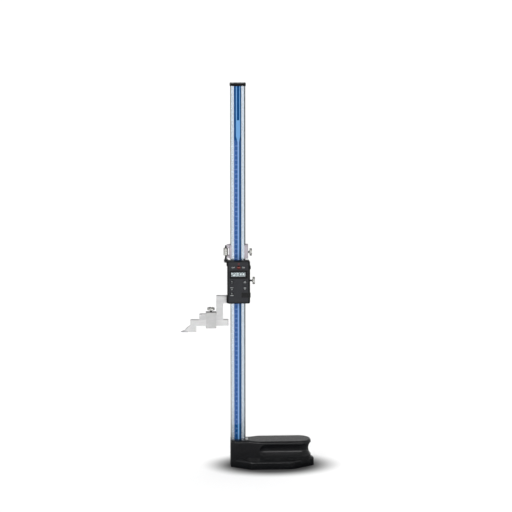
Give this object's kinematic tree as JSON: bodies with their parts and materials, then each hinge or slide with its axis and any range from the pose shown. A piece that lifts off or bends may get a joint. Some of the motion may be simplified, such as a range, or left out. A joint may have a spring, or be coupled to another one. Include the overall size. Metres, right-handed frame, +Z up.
{
  "type": "digital height gauge",
  "caption": "Digital height gauge: a tall steel column on a heavy black base, with a sliding display head, fine adjustment carriage and an offset jaw that clamps a scriber.",
  "frame": {"origin": "on the ground underside of the base, straight below the centre of the column", "axes": "+Z up the column; -Y towards the user, the side of the display; +X along the base, away from the jaw"},
  "size_m": [0.2835, 0.086, 0.8245],
  "materials": {
    "iron_paint": "black textured machine enamel over grey iron",
    "stainless": "ground stainless steel",
    "scale_print": "blue printed film over the measuring strip",
    "black_plastic": "moulded ABS, fine spark texture",
    "face_film": "printed polycarbonate overlay, satin",
    "window_glass": "clear polished acrylic",
    "lcd": "liquid crystal display",
    "circuit": "green glass-fibre board",
    "contact_metal": "plated contact spring",
    "cell_steel": "nickel-plated can",
    "rubber_strip": "conductive elastomer",
    "red_button": "moulded red plastic",
    "key_rubber": "moulded grey plastic",
    "machined_steel": "satin chrome on machined steel",
    "bright_chrome": "knurled, nickel-plated",
    "black_steel": "black oxide",
    "brass": "drawn brass",
    "carbide": "lapped tungsten carbide",
    "screw_steel": "zinc-plated"
  },
  "bodies": {
    "base": {"base": "iron_paint", "column": "stainless", "column_wedge": "machined_steel", "column_clamp_screws": "black_steel", "scale_strip": "scale_print", "column_cap": "black_plastic", "cap_screws": "screw_steel"},
    "slider": {"slider_frame": "machined_steel", "slider_back_plate": "machined_steel", "back_plate_screws": "screw_steel", "gib_screws": "black_steel", "display_housing": "black_plastic", "housing_screws": "screw_steel", "face_plate": "face_film", "display_bezel": "black_plastic", "display_window": "window_glass", "lcd_panel": "lcd", "lcd_contact_strips": "rubber_strip", "display_board": "circuit", "switch_domes": "contact_metal", "sensor_board": "circuit", "battery": "cell_steel", "battery_contact": "contact_metal", "adjusting_screw": "black_steel", "pivot_screw": "black_steel"},
    "gib": {"slider_gib": "brass"},
    "slider_lock": {"slider_lock_screw": "bright_chrome"},
    "battery_door": {"battery_door": "black_plastic"},
    "power_button": {"power_button": "red_button"},
    "mode_key": {"mode_key": "key_rubber"},
    "units_key": {"units_key": "key_rubber"},
    "zero_key": {"zero_key": "key_rubber"},
    "up_key": {"up_key": "key_rubber"},
    "down_key": {"down_key": "key_rubber"},
    "carriage": {"carriage_frame": "machined_steel"},
    "carriage_gib": {"carriage_gib": "brass"},
    "carriage_lock": {"carriage_lock_screw": "bright_chrome"},
    "adjusting_nut": {"adjusting_nut": "bright_chrome"},
    "scriber": {"scriber": "machined_steel", "carbide_tip": "carbide"},
    "clamp": {"scriber_clamp": "machined_steel"},
    "clamp_screw": {"clamp_screw": "bright_chrome"}
  },
  "joints": [
    {"name": "slider_travel", "type": "slide", "parent": "base", "child": "slider", "axis": [0, 0, 1], "range_m": [-0.293, 0.307]},
    {"name": "slider_lock_turn", "type": "hinge", "parent": "gib", "child": "slider_lock", "pos_m": [0.0268, 0, 0.4024], "axis": [1, 0, 0], "range_deg": [0, 182]},
    {"name": "gib_release", "type": "slide", "parent": "slider", "child": "gib", "axis": [1, 0, 0], "range_m": [0, 0.00035]},
    {"name": "carriage_adjust", "type": "slide", "parent": "slider", "child": "carriage", "axis": [0, 0, 1], "range_m": [-0.0021, 0.0049]},
    {"name": "nut_turn", "type": "hinge", "parent": "carriage", "child": "adjusting_nut", "pos_m": [-0.0255, -0.001, 0.4654], "axis": [0, 0, 1], "range_deg": [-1090, 2530]},
    {"name": "carriage_lock_turn", "type": "hinge", "parent": "carriage_gib", "child": "carriage_lock", "pos_m": [0.0214, 0, 0.4639], "axis": [1, 0, 0], "range_deg": [0, 182]},
    {"name": "carriage_gib_release", "type": "slide", "parent": "carriage", "child": "carriage_gib", "axis": [1, 0, 0], "range_m": [0, 0.00035]},
    {"name": "scriber_reach", "type": "slide", "parent": "slider", "child": "scriber", "axis": [1, 0, 0], "range_m": [-0.025, 0.003]},
    {"name": "clamp_shift", "type": "slide", "parent": "slider", "child": "clamp", "axis": [1, 0, 0], "range_m": [-0.012, 0]},
    {"name": "clamp_screw_turn", "type": "hinge", "parent": "clamp", "child": "clamp_screw", "pos_m": [-0.0571, 0, 0.34], "axis": [0, 0, 1], "range_deg": [0, 360]},
    {"name": "battery_door_slide", "type": "slide", "parent": "slider", "child": "battery_door", "axis": [1, 0, 0], "range_m": [0, 0.014]},
    {"name": "power_button_press", "type": "slide", "parent": "slider", "child": "power_button", "axis": [0, 1, 0], "range_m": [0, 0.0008], "stiffness_N_per_m": 400, "springref_m": -0.0005},
    {"name": "mode_key_press", "type": "slide", "parent": "slider", "child": "mode_key", "axis": [0, 1, 0], "range_m": [0, 0.0008], "stiffness_N_per_m": 400, "springref_m": -0.0005},
    {"name": "units_key_press", "type": "slide", "parent": "slider", "child": "units_key", "axis": [0, 1, 0], "range_m": [0, 0.0008], "stiffness_N_per_m": 400, "springref_m": -0.0005},
    {"name": "zero_key_press", "type": "slide", "parent": "slider", "child": "zero_key", "axis": [0, 1, 0], "range_m": [0, 0.0008], "stiffness_N_per_m": 400, "springref_m": -0.0005},
    {"name": "up_key_press", "type": "slide", "parent": "slider", "child": "up_key", "axis": [0, 1, 0], "range_m": [0, 0.0008], "stiffness_N_per_m": 400, "springref_m": -0.0005},
    {"name": "down_key_press", "type": "slide", "parent": "slider", "child": "down_key", "axis": [0, 1, 0], "range_m": [0, 0.0008], "stiffness_N_per_m": 400, "springref_m": -0.0005}
  ],
  "couplings": [
    {"joint": "slider_lock_turn", "follows": "gib_release", "rad_per_m": 8976},
    {"joint": "carriage_lock_turn", "follows": "carriage_gib_release", "rad_per_m": 8976},
    {"joint": "nut_turn", "follows": "carriage_adjust", "rad_per_m": 8976}
  ]
}
